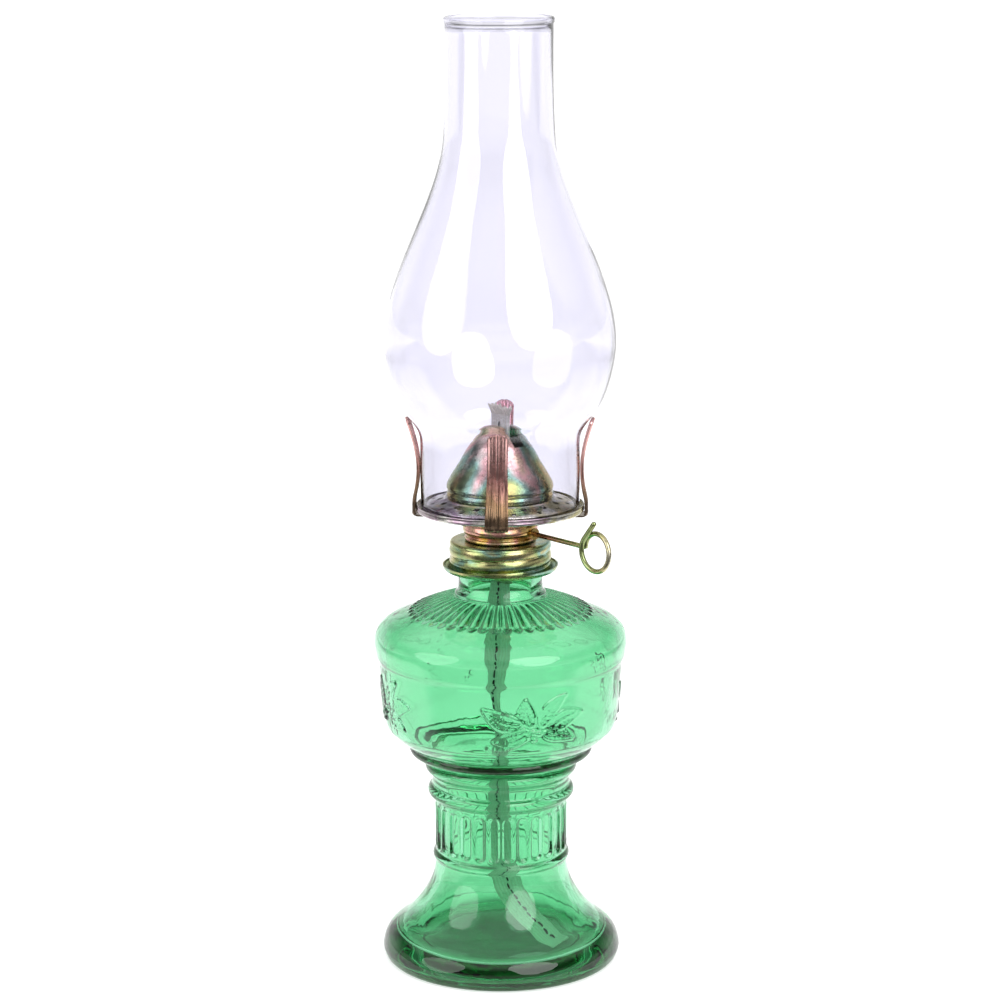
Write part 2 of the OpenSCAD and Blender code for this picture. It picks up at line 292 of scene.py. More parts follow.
def cut(piece, holes):
    """Cuts the geometry of the holes out of a piece."""
    cutter = bpy.data.objects.new("cutter", make_mesh("cutter", holes))
    bpy.context.scene.collection.objects.link(cutter)
    modifier = piece.modifiers.new("holes", "BOOLEAN")
    modifier.object = cutter
    modifier.operation = "DIFFERENCE"
    modifier.solver = "EXACT"
    bpy.context.view_layer.update()
    result = bpy.data.meshes.new_from_object(piece.evaluated_get(bpy.context.evaluated_depsgraph_get()))
    piece.modifiers.clear()
    piece.data = result
    bpy.data.objects.remove(cutter)


def peg(centre, radius, low, high, sides=20):
    """A vertical round cutter."""
    corners, faces = lathe([([(0, low), (radius, low), (radius, high), (0, high)], sides, None)])
    return corners + np.array([*centre, 0]), faces


def brick(low, high):
    """A box-shaped cutter."""
    corners = [(x, y, z) for z in (low[2], high[2]) for y in (low[1], high[1]) for x in (low[0], high[0])]
    faces = [(0, 2, 3, 1), (4, 5, 7, 6), (0, 1, 5, 4), (2, 6, 7, 3), (0, 4, 6, 2), (1, 3, 7, 5)]
    return np.array(corners, float), faces


def polar(radius, degrees):
    """The place at that distance from the lamp's axis, seen from above."""
    return radius * math.cos(math.radians(degrees)), radius * math.sin(math.radians(degrees))


# ---------------------------------------------------------------- materials
def add(tree, kind, inputs=None, **settings):
    """A shader node, with its inputs linked or set."""
    node = tree.nodes.new(kind)
    for key, value in settings.items():
        setattr(node, key, value)
    for key, value in (inputs or {}).items():
        if isinstance(value, bpy.types.NodeSocket):
            tree.links.new(value, node.inputs[key])
        else:
            node.inputs[key].default_value = value
    return node


def new_material(name):
    material = bpy.data.materials.new(name)
    material.use_nodes = True
    tree = material.node_tree
    tree.nodes.clear()
    return material, tree


def finish_material(tree, shader, volume=None):
    output = add(tree, "ShaderNodeOutputMaterial", {"Surface": shader.outputs[0]})
    if volume:
        tree.links.new(volume.outputs[0], output.inputs["Volume"])


def object_point(tree, stretch=(1, 1, 1)):
    """The place on the piece, in metres, stretched by a factor along each axis."""
    place = add(tree, "ShaderNodeTexCoord").outputs["Object"]
    return add(tree, "ShaderNodeMapping", {"Vector": place, "Scale": stretch}).outputs[0]


def noise(tree, scale, detail=3, stretch=(1, 1, 1), distortion=0.0):
    """Cloudy values from 0 to 1 that stay fixed to the piece."""
    return add(tree, "ShaderNodeTexNoise", {"Vector": object_point(tree, stretch), "Scale": scale,
                                            "Detail": detail, "Distortion": distortion}).outputs[0]


def math_node(tree, operation, a, b):
    return add(tree, "ShaderNodeMath", {0: a, 1: b}, operation=operation).outputs[0]


def ranged(tree, value, low, high, start=0.0, end=1.0):
    """Goes from low to high as the value goes from start to end."""
    return add(tree, "ShaderNodeMapRange", {0: value, 1: start, 2: end, 3: low, 4: high}).outputs[0]


def ramp(tree, factor, stops):
    """Colours that run into each other. A stop is (position, colour)."""
    node = add(tree, "ShaderNodeValToRGB", {0: factor})
    elements = node.color_ramp.elements
    for _ in stops[2:]:
        elements.new(0.5)
    for element, (position, colour) in zip(elements, stops):
        element.position = position
        element.color = (*colour, 1)
    return node.outputs[0]


def glass_material(name, tint, depth_colour, density, roughness, waves):
    """Clear glass whose colour deepens with its thickness. waves is (scale, height) of its uneven surface."""
    material, tree = new_material(name)
    uneven = noise(tree, waves[0], 2, (1, 1, 0.5), 0.4)
    bump = add(tree, "ShaderNodeBump", {"Height": uneven, "Strength": 0.5, "Distance": waves[1]})
    shader = add(tree, "ShaderNodeBsdfPrincipled", {
        "Base Color": (*tint, 1), "Roughness": roughness, "IOR": 1.5, "Transmission Weight": 1.0,
        "Normal": bump.outputs[0]})
    volume = add(tree, "ShaderNodeVolumeAbsorption", {"Color": (*depth_colour, 1), "Density": density})
    finish_material(tree, shader, volume)
    return material


# Colours of bare zinc plate and of the iridescent chromate film on it
FILM = {
    "silver": (0.66, 0.65, 0.60),
    "steel": (0.46, 0.46, 0.40),
    "straw": (0.56, 0.50, 0.24),
    "gold": (0.62, 0.44, 0.14),
    "rose": (0.68, 0.34, 0.30),
    "pink": (0.80, 0.46, 0.44),
    "violet": (0.36, 0.25, 0.33),
    "teal": (0.26, 0.46, 0.38),
    "green": (0.30, 0.38, 0.16),
    "brown": (0.30, 0.18, 0.10),
    "umber": (0.18, 0.12, 0.08),
}


def plated_material(name, bands, scale, stretch=(1, 1, 1), height=(0, 0, 0.0), roughness=(0.16, 0.34),
                    way=(0, 0, 1)):
    """Zinc plate with an iridescent film. bands are the film's colours in order, and scale says how fine its
    patches are. height is (low, high, share): between which places along the piece's way the film changes, in
    millimetres, and what share of the change that makes."""
    material, tree = new_material(name)
    film = ranged(tree, noise(tree, scale, 3, stretch, 0.6), 0.0, 1.0, 0.28, 0.72)
    if height[2]:
        place = add(tree, "ShaderNodeVectorMath", {0: object_point(tree), 1: way},
                    operation="DOT_PRODUCT").outputs["Value"]
        rise = ranged(tree, place, 0.0, 1.0, height[0] * MM, height[1] * MM)
        film = math_node(tree, "ADD", math_node(tree, "MULTIPLY", film, 1 - height[2]),
                         math_node(tree, "MULTIPLY", rise, height[2]))
    stops = [(k / (len(bands) - 1), FILM[b]) for k, b in enumerate(bands)]
    colour = ramp(tree, film, stops)
    mottle = noise(tree, 900, 4)
    tarnish = (0.16, 0.13, 0.08, 1)
    share = ranged(tree, mottle, 0.0, 0.35, 0.45, 0.7)
    colour = add(tree, "ShaderNodeMix", {0: share, 6: colour, 7: tarnish}, data_type="RGBA").outputs[2]
    rough = ranged(tree, noise(tree, 350, 4), roughness[0], roughness[1], 0.35, 0.7)
    scratches = noise(tree, 700, 3, (1, 1, 0.08))
    bump = add(tree, "ShaderNodeBump", {"Height": scratches, "Strength": 0.12, "Distance": 0.0002})
    shader = add(tree, "ShaderNodeBsdfPrincipled", {
        "Base Color": colour, "Metallic": 1.0, "Roughness": rough, "Normal": bump.outputs[0]})
    finish_material(tree, shader)
    return material


def steel_material(name, colour, roughness):
    """Bright zinc-plated steel with fine rubbed marks and dull spots."""
    material, tree = new_material(name)
    dull = tuple(0.6 * c for c in colour)
    spots = ranged(tree, noise(tree, 420, 4), 0.0, 1.0, 0.4, 0.7)
    shade = add(tree, "ShaderNodeMix", {0: spots, 6: (*colour, 1), 7: (*dull, 1)},
                data_type="RGBA").outputs[2]
    bump = add(tree, "ShaderNodeBump", {"Height": noise(tree, 1500, 2, (1, 0.2, 1)), "Strength": 0.15,
                                        "Distance": 0.0001})
    shader = add(tree, "ShaderNodeBsdfPrincipled", {
        "Base Color": shade, "Metallic": 1.0, "Roughness": ranged(tree, spots, roughness, roughness + 0.2),
        "Normal": bump.outputs[0]})
    finish_material(tree, shader)
    return material


def cotton_material(name, light, dark):
    """Woven cotton: yarns across the width (U) and picks along the length (V, in yarn widths)."""
    material, tree = new_material(name)
    place = add(tree, "ShaderNodeSeparateXYZ", {0: add(tree, "ShaderNodeTexCoord").outputs["UV"]})
    across = math_node(tree, "PINGPONG", place.outputs[0], 1.0)
    chevron = math_node(tree, "ADD", place.outputs[1], math_node(tree, "MULTIPLY", across, 0.5))
    pick = math_node(tree, "SINE", math_node(tree, "MULTIPLY", chevron, 2 * math.pi), 0.0)
    yarn = math_node(tree, "COSINE", math_node(tree, "MULTIPLY", place.outputs[0], 2 * math.pi), 0.0)
    weave = ranged(tree, math_node(tree, "SUBTRACT", math_node(tree, "MULTIPLY", pick, 0.5), yarn),
                   0.0, 1.0, -1.2, 1.2)
    fibre = noise(tree, 2600, 5, (1, 1, 0.3))
    tone = math_node(tree, "ADD", math_node(tree, "MULTIPLY", weave, 0.7),
                     math_node(tree, "MULTIPLY", fibre, 0.4))
    colour = ramp(tree, tone, [(0.15, dark), (0.75, light)])
    bump = add(tree, "ShaderNodeBump", {"Height": tone, "Strength": 0.6, "Distance": 0.0003})
    shader = add(tree, "ShaderNodeBsdfPrincipled", {
        "Base Color": colour, "Roughness": 0.9, "Sheen Weight": 0.3, "Sheen Roughness": 0.5,
        "Normal": bump.outputs[0]})
    finish_material(tree, shader)
    return material


def plain_material(name, light, dark, roughness, scale):
    """A matt stuff with fine mottling, for the gasket and the marker thread."""
    material, tree = new_material(name)
    colour = ramp(tree, noise(tree, scale, 4), [(0.35, dark), (0.65, light)])
    grain = noise(tree, scale * 2, 3)
    bump = add(tree, "ShaderNodeBump", {"Height": grain, "Strength": 0.3, "Distance": 0.0002})
    shader = add(tree, "ShaderNodeBsdfPrincipled", {
        "Base Color": colour, "Roughness": roughness, "Normal": bump.outputs[0]})
    finish_material(tree, shader)
    return material


GREEN_GLASS = glass_material("green_glass", (0.50, 0.875, 0.65), (0.30, 0.72, 0.50), 105, 0.012, (90, 0.0005))
CLEAR_GLASS = glass_material("clear_glass", (0.915, 0.908, 0.966), (0.70, 0.68, 0.90), 60, 0.0, (45, 0.0002))
CAP_METAL = plated_material("plated_cap", ["steel", "straw", "green", "teal", "straw"], 55, (1, 1, 3))
CUP_METAL = plated_material("plated_cup", ["rose", "gold", "rose", "straw", "rose", "brown"], 70)
GALLERY_METAL = plated_material("plated_gallery", ["steel", "straw", "silver", "violet", "silver"], 60,
                                roughness=(0.12, 0.26))
DOME_METAL = plated_material(
    "plated_dome", ["gold", "teal", "gold", "green", "teal", "pink", "straw", "rose"], 40, (1, 1, 0.8),
    (161, 186, 0.3))
PRONG_METAL = plated_material("plated_prong", ["umber", "umber", "brown", "rose", "pink", "pink", "pink"],
                              50, (1, 1, 0.6), (155, 187, 0.75))
KEY_METAL = plated_material("key_wire", ["rose", "brown", "rose", "straw", "green", "straw", "silver"],
                            60, (1, 1, 1), (12, 50, 0.75), way=(*polar(1, KEY_ANGLE), 0))
TUBE_METAL = steel_material("plated_steel", (0.50, 0.46, 0.34), 0.25)
PLAIN_STEEL = steel_material("plain_steel", (0.62, 0.62, 0.60), 0.2)
COTTON = cotton_material("wick_cotton", (0.99, 0.97, 0.94), (0.89, 0.83, 0.74))
THREAD = plain_material("marker_thread", (0.03, 0.03, 0.04), (0.01, 0.01, 0.012), 0.8, 2500)
GASKET = plain_material("gasket_rubber", (0.10, 0.07, 0.05), (0.03, 0.025, 0.02), 0.7, 900)


# ---------------------------------------------------------------- wick tail, the lamp's cord
TAIL_ROUTE = [
    (0, 0, WICK_BOTTOM), (-0.3, 0, 127), (-0.8, 0, 120), (-1.1, 0, 113), (-1.2, 0, 106), (-1.5, 0, 100),
    (-1.9, 0, 94), (-1.4, -0.2, 88), (-0.4, -0.4, 82), (0.2, -0.5, 76), (0, -0.5, 70), (-0.4, -0.4, 64),
    (-0.8, -0.2, 58), (-0.8, 0, 52), (-0.6, -0.2, 46), (-0.2, -0.8, 40), (0.5, -1.8, 34.5),
    (1.6, -3.2, 29.3), (3.2, -4.9, 24.2), (5.9, -6.8, 19.4), (9.6, -8.8, 14.9), (13.3, -10.5, 11.8),
    (16.8, -12.1, 9.3), (20, -13.7, 7.4)]
# How far the ribbon is twisted at each of those points, in degrees from the key's direction
TAIL_TURN = [0, 9, 20, 25, 18, 2, -18, -28, -26, -20, -10, 0, 8, 14, 20, 28, 38, 50, 62, 74, 82, 86, 88, 88]
YARN = 1.1                           # width of one yarn of the wick


def ribbon_frames(route, turns):
    """Point, direction across and direction through at each step of a flat ribbon."""
    p = np.array(route, float)
    t = np.gradient(p, axis=0)
    t /= np.linalg.norm(t, axis=1, keepdims=True)
    a = np.radians(KEY_ANGLE + np.array(turns, float))
    wide = np.stack([np.cos(a), np.sin(a), np.zeros(len(a))], 1)
    through = np.cross(t, wide)
    through /= np.linalg.norm(through, axis=1, keepdims=True)
    return p, np.cross(through, t), through


def ribbon(route, turns, width, thickness, across=18):
    """A flat woven ribbon with rounded edges and a raised yarn pattern, and its UV coordinates by corner."""
    p, u, v = ribbon_frames(route, turns)
    along = np.concatenate([[0], np.cumsum(np.linalg.norm(np.diff(p, axis=0), axis=1))])
    x = np.linspace(-1, 1, across)
    half = width / 2
    edge = np.sqrt(np.maximum(1 - np.abs(x) ** 6, 0)) * 0.8 + 0.2
    corners, uv = [], []
    for i in range(len(p)):
        lift = 0.06 * thickness * (np.cos(x * half / YARN * 2 * math.pi)
                                   + 0.6 * np.sin(along[i] / YARN * math.pi + np.abs(x) * 3))
        rise = edge * thickness / 2 - 0.12 + lift
        for side in (1, -1):
            for xx, h in zip(x[::side], rise[::side]):
                corners.append(p[i] + u[i] * xx * half + v[i] * side * h)
                uv.append((xx * half / YARN, along[i] / YARN))
    n = 2 * across
    faces = [(i * n + k, (i + 1) * n + k, (i + 1) * n + (k + 1) % n, i * n + (k + 1) % n)
             for i in range(len(p) - 1) for k in range(n)]
    faces += [tuple(range(n)), tuple((len(p) - 1) * n + k for k in range(n))[::-1]]
    return (np.array(corners), faces), uv


def set_uv(piece, uv):
    """Gives each face corner the coordinates of its vertex."""
    layer = piece.data.uv_layers.new(name="UVMap")
    for loop in piece.data.loops:
        layer.data[loop.index].uv = uv[loop.vertex_index]


def smooth_tail():
    """The tail's route and its turns, in steps of 0.9 mm and shorter where it twists."""
    together = [(*q, a) for q, a in zip(TAIL_ROUTE, TAIL_TURN)]
    fine = np.array(resample(curve(together, 12), 0.9))
    return fine[:, :3], fine[:, 3]


def stitches(route, turns, thickness, pitch=2.6, length=1.5):
    """The dark marker thread, which shows as a row of short stitches on both faces."""
    p, u, v = ribbon_frames(route, turns)
    along = np.concatenate([[0], np.cumsum(np.linalg.norm(np.diff(p, axis=0), axis=1))])

    def at(s, values):
        return np.array([np.interp(s, along, values[:, k]) for k in range(3)])

    parts = []
    for k in range(int((along[-1] - 1.5) / pitch)):
        for side in (1, -1):
            start = 0.8 + (k + (0.5 if side < 0 else 0)) * pitch
            path = []
            for f in np.linspace(0, 1, 5):
                s = start + f * length
                bow = thickness / 2 - 0.05 + 0.22 * math.sin(math.pi * f)
                path.append(at(s, p) + at(s, v) * side * bow + at(s, u) * 0.25 * math.sin(k * 2.4))
            parts.append(tube(path, 0.31, 6, 1))
    return joined(parts)


tail_path, tail_turns = smooth_tail()
tail_geometry, tail_uv = ribbon(tail_path, tail_turns, WICK_W, WICK_T)
tail = make("wick_tail_braid", tail_geometry, COTTON, None, ["wick_tail"], sharp=60)
set_uv(tail, tail_uv)
tail_thread = make("tail_marker_thread", stitches(tail_path, tail_turns, WICK_T), THREAD, None)
for piece in (tail, tail_thread):
    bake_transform(piece)


# ---------------------------------------------------------------- glass font
FLUTES = 28                          # round the waist
FLUTE_LOW, FLUTE_HIGH = 39.6, 54.8
GADROONS = 48                        # round the shoulder
GADROON_START_R, GADROON_END_R = 15.4, 30.6
MOTIF_ANGLES = (-75, 15, 105, 195)   # the moulded sprigs, a quarter turn apart
MOTIF_Z = 94.0
BOWL_SIDE_R = 40.5
SEAM_ANGLES = (20, 200)              # where the halves of the mould met
THREAD_START_Z, THREAD_PITCH, THREAD_TURNS = 137.4, 3, 1.5


def seam(r, z, a):
    """The faint ridges that the two halves of the mould leave."""
    return sum(0.1 * np.exp(-((np.abs(np.mod(a - s + math.pi, 2 * math.pi) - math.pi) * r) / 0.25) ** 2)
               for s in np.radians(SEAM_ANGLES))


def ripple(r, z, a):
    """The uneven inside of the glass."""
    size = 0.01 + 0.025 * smoothstep((z - 84) / 8)
    return size * (np.sin(3 * a + 0.11 * z) + np.sin(5 * a - 0.19 * z + 1.3) + np.sin(2 * a + 0.25 * z + 0.4))


def flute_relief(r, z, a):
    """Arch-topped flutes pressed in between thin ribs."""
    cell = 2 * math.pi * r / FLUTES
    x = (np.mod(a / (2 * math.pi) * FLUTES, 1) - 0.5) * cell
    half = cell * 0.37
    middle, reach = (FLUTE_LOW + FLUTE_HIGH) / 2, (FLUTE_HIGH - FLUTE_LOW) / 2 - half
    edge = np.hypot(x, max(abs(z - middle) - reach, 0)) - half
    return -0.75 * smoothstep(0.5 - edge / 0.9) + 0.22 * np.exp(-((edge - 0.3) / 0.35) ** 2)


def gadroon_relief(r, z, a):
    """Rounded ribs that run out from the neck, each with a rounded end."""
    x = np.mod(a / (2 * math.pi) * GADROONS, 1) - 0.5
    cell = 2 * math.pi * r / GADROONS
    end = GADROON_END_R - 1.9 * (2 * x) ** 2
    rib = 1.25 * np.sqrt(np.maximum(1 - (2.04 * x) ** 2, 0)) - 0.65
    fade = smoothstep((end - r) / 0.9) * smoothstep((r - GADROON_START_R) / 1.2)
    lip = 0.35 * np.exp(-((r - end - 0.1) / 0.4) ** 2)
    return rib * min(cell / 3.2, 1) * fade + lip * (r > 24)


def leaf_height(x, y, base, angle, length, width):
    """A pressed leaf: a raised outline, a midrib and side veins."""
    c, s = math.cos(math.radians(angle)), math.sin(math.radians(angle))
    p = ((x - base[0]) * c + (y - base[1]) * s) / length
    q = -(x - base[0]) * s + (y - base[1]) * c
    q = q - 0.10 * length * np.sin(math.pi * np.clip(p, 0, 1))
    half = width / 2 * np.sin(math.pi * np.clip(p, 0, 1) ** 0.8) + 1e-3
    within = (p > 0) & (p < 1)
    outline = np.exp(-((np.abs(q) - half) / 0.38) ** 2)
    midrib = np.exp(-(q / 0.32) ** 2)
    inside = smoothstep((half - np.abs(q)) / 0.5)
    veins = 0.5 + 0.5 * np.sin(2 * math.pi * (p * length - np.abs(q) * 0.9) / 1.5)
    blade = 0.16 * inside + 0.2 * inside * veins
    return np.where(within, np.maximum(np.maximum(0.5 * outline, 0.5 * midrib), blade), 0)


# The sprig, in millimetres from its middle. A leaf is (base, direction in degrees, length, width)
LEAVES = [((-3.0, -1.5), 158, 15, 5.2), ((-1.0, -3.5), 196, 13, 4.6), ((3.0, -2.5), 50, 14, 4.4),
          ((5.5, -4.0), 20, 14.5, 5.6), ((4.0, -5.5), -12, 12, 4.4), ((0.0, -2.5), 104, 10.5, 4.6)]
BERRIES = [(-1.5, -5.2), (0.6, -6.6), (2.4, -4.6), (0.3, -4.2)]
STEM = curve([(-15, -9.4), (-9, -9.6), (-4, -7.6), (1, -5), (6, -4.2)], 5)


def motif_relief(r, z, a):
    """A leaf sprig on each quarter of the bowl."""
    total = seam(r, z, a)
    y = z - MOTIF_Z
    for centre in MOTIF_ANGLES:
        x = (np.mod(a - math.radians(centre) + math.pi, 2 * math.pi) - math.pi) * BOWL_SIDE_R
        height = np.zeros_like(x)
        for base, angle, length, width in LEAVES:
            height = np.maximum(height, leaf_height(x, y, base, angle, length, width))
        for bx, by in BERRIES:
            berry = np.sqrt(np.maximum(1 - ((x - bx) ** 2 + (y - by) ** 2) / 1.1, 0))
            height = np.maximum(height, 0.75 * berry)
        near = np.min([np.hypot(x - sx, y - sy) for sx, sy in STEM], axis=0)
        height = np.maximum(height, 0.5 * np.exp(-(near / 0.55) ** 2))
        total = total + height
    return total


def thread_relief(r, z, a):
    """The one and a half turns of screw thread on the neck."""
    turn = a / (2 * math.pi)
    out = np.zeros_like(a)
    for whole in range(-1, 3):
        place = turn + whole
        centre = THREAD_START_Z + THREAD_PITCH * place
        fade = smoothstep(place / 0.15) * smoothstep((THREAD_TURNS - place) / 0.15)
        out = np.maximum(out, 0.85 * fade * np.exp(-((z - centre) / 0.75) ** 2))
    return out


def font_geometry():
    """The font's outside from the middle of the base up to the neck, then its inside down to the floor."""
    plain, fine, finest, ribbed = 192, 336, 504, 12 * GADROONS    # corners round
    base = [(0, 0.8), (9, 0.8), (18, 0.8), (25.6, 0.8)] + arc((26.2, 0.2), 0.6, 90, 0, 3) \
        + [(27.4, 0), (30.5, 0), (34, 0)]
    foot = resample(curve([(FOOT_R - 2.6, 0), (FOOT_R - 1.1, 0.7), (FOOT_R - 0.3, 2.4), (FOOT_R, 4.8),
                           (FOOT_R - 2, 9.6), (FOOT_R - 8.8, 15.4), (26.6, 22), (23.3, 29), (22.4, 34.6)],
                          8), 1.1)
    low_bead = arc((21.5, 36.6), 1.8, -58, 60, 9)
    waist = [(22.3, z) for z in np.arange(38.6, 56.4, 0.55)]
    beads = (arc((22.6, 59.4), 2.3, -80, 66, 12) + [(23.45, 62.2), (23.4, 63.4), (23.5, 65.0)]
             + arc((23.3, 68.3), 2.6, -70, 70, 12))
    rings = curve([(24.4, 71.5), (25.4, 71.8), (27.4, 72.0), (29.6, 72.4), (30.8, 73.2), (31.2, 74.4),
                   (30.9, 75.5), (31.5, 76.1), (33.4, 77.4), (35.6, 79.2), (37.3, 80.9)], 3)
    side = resample(curve([(37.6, 81.2), (38.7, 82.6), (39.6, 86), (40.0, 90), (40.3, 94), (40.8, 100),
                           (41.1, 104.4)], 8), 0.45)
    shoulder = resample(curve([(41.2, 105.0), (41.45, 105.7), (41.9, 106.3), (42.3, 108.4), (BOWL_R, 111.8),
                               (BOWL_R - 1, 115.6), (38.4, 118.4), (34.2, 120.3), (31.9, 121.15)], 6), 0.9)
    ribs = resample(curve([(31.6, 121.3), (28.2, 122.7), (25, 124), (18.9, 126.2), (15.6, 127.1)], 6), 0.5)
    neck = (arc((14.4, 127.9), 1.0, -55, 60, 5) + [(14.25, 129.4), (14.2, 132), (14.2, 135)])
    thread = [(14.2, z) for z in np.arange(135.9, 142.3, 0.4)]
    lip = arc((13.4, NECK_TOP - 0.8), 0.8, 10, 90, 4) + arc((11.8, NECK_TOP - 0.8), 0.8, 90, 180, 4)
    inside = [(11, z) for z in np.arange(141, 128, -1.5)] + resample(curve([
        (11, 127.6), (13.4, 124.6), (21.4, 121.8), (30.4, 118.5), (37.4, 115.2), (39.3, 111.8), (38.8, 106),
        (37.8, 96), (37.0, 87.5), (35.2, 82), (31.6, 78.2), (27.0, 75.4), (22.8, 72.4), (19.8, 68.4),
        (18.9, 63), (18.8, 58), (18.8, 48), (18.8, 36), (19.8, 29), (22.6, 21.6), (27, 15), (33.2, 9.8),
        (33.5, 7), (28, 5.5)], 8), 1.3)
    floor = [(22, 5.5), (15, 5.4), (8, 5.4), (0, 5.4)]
    return lathe([
        (base, plain, None), (foot, plain, seam), (low_bead, plain, None), (waist, fine, flute_relief),
        (beads, plain, None), (rings, plain, seam), (side, finest, motif_relief), (shoulder, plain, seam),
        (ribs, ribbed, gadroon_relief), (neck, plain, None), (thread, plain, thread_relief),
        (lip, plain, None), (inside, plain, ripple), (floor, plain, None)])


make("font_glass", font_geometry(), GREEN_GLASS, "font", ["font"], sharp=180)


# ---------------------------------------------------------------- chimney
def chimney_geometry():
    """A straight foot, a bulge and a long neck with a fire-rounded mouth, slightly out of round."""
    wall = 1.0
    outer = curve([(26.7, 159), (26.7, 175), (26.8, 180.4), (27.6, 183.8), (29.7, 187.2), (32.3, 190.6),
                   (34.9, 195.4), (37.4, 203.4), (38.7, 213), (37.4, 224), (33.6, 236.4), (28.4, 249.4),
                   (23.5, 261.4), (20.6, 270), (18.9, 277.4), (18.2, 286), (17.8, 300),
                   (17.8, LAMP_H - 4)], 10)
    outer = np.array(resample(outer, 1.2))
    inner = outer - wall * normals_of(outer, False)
    foot = arc((26.2, SEAT_Z + 0.5), 0.5, -180, 0, 8)
    mouth = (arc((18.7, LAMP_H - 2.6), 0.9, 180, 125, 3)
             + arc((17.2, LAMP_H - 1), 1.0, -30, 210, 14))

    def out_of_round(r, z, a):
        return 0.05 * np.sin(2 * a + 0.06 * z) + 0.03 * np.sin(3 * a + 1)

    return lathe([([*foot, *outer, *mouth, *inner[::-1]], 160, out_of_round)], closed=True)


make("chimney_glass", chimney_geometry(), CLEAR_GLASS, "chimney", ["chimney"], sharp=180)


# ---------------------------------------------------------------- screw cap and cup
def cap_geometry():
    """The cap's wall is rolled into a screw thread of two broad turns above an upturned lip."""
    groove_z, pitch = 141.9, 4.0

    def rolled(r, z, a):
        if not 137.6 < z < 145.4 or r < 16.4:
            return np.zeros_like(a)
        fade = smoothstep((z - 137.8) / 0.8) * smoothstep((145.3 - z) / 0.8)
        turns = (z - groove_z) / pitch - (a + math.pi / 2) / (2 * math.pi)
        return fade * (0.62 * np.abs(np.sin(math.pi * turns)) ** 0.55 - 0.42)

    outside = (curve([(19.0, 137.9), (18.85, 137.2), (18.3, 136.5), (17.6, 136.35), (17.15, 136.9),
                      (16.95, 137.8)], 4) + [(16.95, z) for z in np.arange(138.1, 145.2, 0.22)]
               + arc((16.0, 145.2), 1.0, 0, 90, 6) + [(14.4, 146.2), (12.6, 146.2), (11.1, 146.2)])
    return lathe([(thickened(outside, 0.45), 192, rolled)], closed=True)


make("screw_cap_plated", cap_geometry(), CAP_METAL, "burner", ["screw_cap"])


def cup_geometry():
    """A short spun cup with a rolled bead at its foot."""
    outside = curve([(10.9, 144.7), (10.9, 146.0), (11.4, 146.3), (11.95, 146.6), (12.05, 147.1),
                     (11.85, 147.6), (11.45, 147.9), (11.5, 148.25), (12.1, 148.8), (12.5, 149.5),
                     (12.62, 150.4), (12.45, 151.3), (12.3, 151.85)], 4)
    return lathe([(thickened(outside, 0.45), 96, None)], closed=True)


def shaft_hole():
    """Where the key's shaft leaves the cup."""
    corners, faces = peg((0, 0), 1.5, 5, 15)
    flat = corners[:, [2, 0, 1]] + np.array([0, SHAFT_Y, KEY_Z])
    return turned((flat, faces), KEY_ANGLE)


make("burner_cup_plated", cup_geometry(), CUP_METAL, "burner", ["burner_cup"],
     holes=shaft_hole())


# ---------------------------------------------------------------- gallery, air plate and dome
def gallery_geometry():
    """A shallow dish with an upright rim."""
    outside = (curve([(11.9, 152.05), (14.6, 152.4), (18, 153.8), (24, 155.9), (26.6, 156.35)], 5)
               + arc((27.45, 157.1), 0.75, -95, 10, 7) + [(28.05, 157.7), (28.1, 158.3)]
               + arc((27.9, 158.35), 0.25, 0, 120, 4))
    return lathe([(thickened(outside, 0.5), 144, None)], closed=True)


gallery_holes = joined([peg(polar(20.5, 15 + 30 * i), 1.2, 150, 160) for i in range(12)])
make("gallery_plated", gallery_geometry(), GALLERY_METAL, "burner", ["gallery"],
     holes=gallery_holes)


def air_plate_geometry():
    """A spun plate that stands in the gallery and carries the dome."""
    outside = curve([(24.75, 156.95), (24.75, 158.2), (24.4, 158.9), (21.5, 159.75), (18.9, 160.55),
                     (18.2, 161.0), (17.2, 161.1), (13, 161.1), (9.2, 161.1)], 4)
    return lathe([(thickened(outside, 0.45), 144, None)], closed=True)


air_holes = joined([peg(polar(20, 22.5 * i), 1.1, 155, 165) for i in range(16)]
                   + [peg(polar(22.8, 11.25 + 22.5 * i), 0.8, 155, 165) for i in range(16)]
                   + [peg(polar(13, 22.5 + 45 * i), 1.6, 155, 165) for i in range(8)])
make("air_plate_plated", air_plate_geometry(), GALLERY_METAL, "burner", ["air_plate"],
     holes=air_holes)


def dome_geometry():
    """A spun bell with a step above its foot, closed at the top until the slot is cut."""
    outer = np.array(curve([(17.35, 161.2), (17.7, 161.6), (17.75, 162.6), (17.45, 163.3), (17.5, 163.9),
                            (17.75, 164.5), (17.5, 165.9), (16.1, 168.6), (13.4, 173), (11.3, 177.2),
                            (9.6, 180.2), (7.8, 182.4), (5.4, 184.2), (2.8, 185.0), (0, DOME_TOP)], 5))
    wall = 0.5
    inner = (outer - wall * normals_of(outer, False))[::-1]
    inner[0] = (0, DOME_TOP - wall)
    return lathe([([*outer, *inner], 128, None)], closed=True)


dome_slot = turned(brick((-10.3, -2.1, 179.6), (10.3, 2.1, 196)), KEY_ANGLE)
make("dome_plated", dome_geometry(), DOME_METAL, "burner", ["dome"], holes=dome_slot)


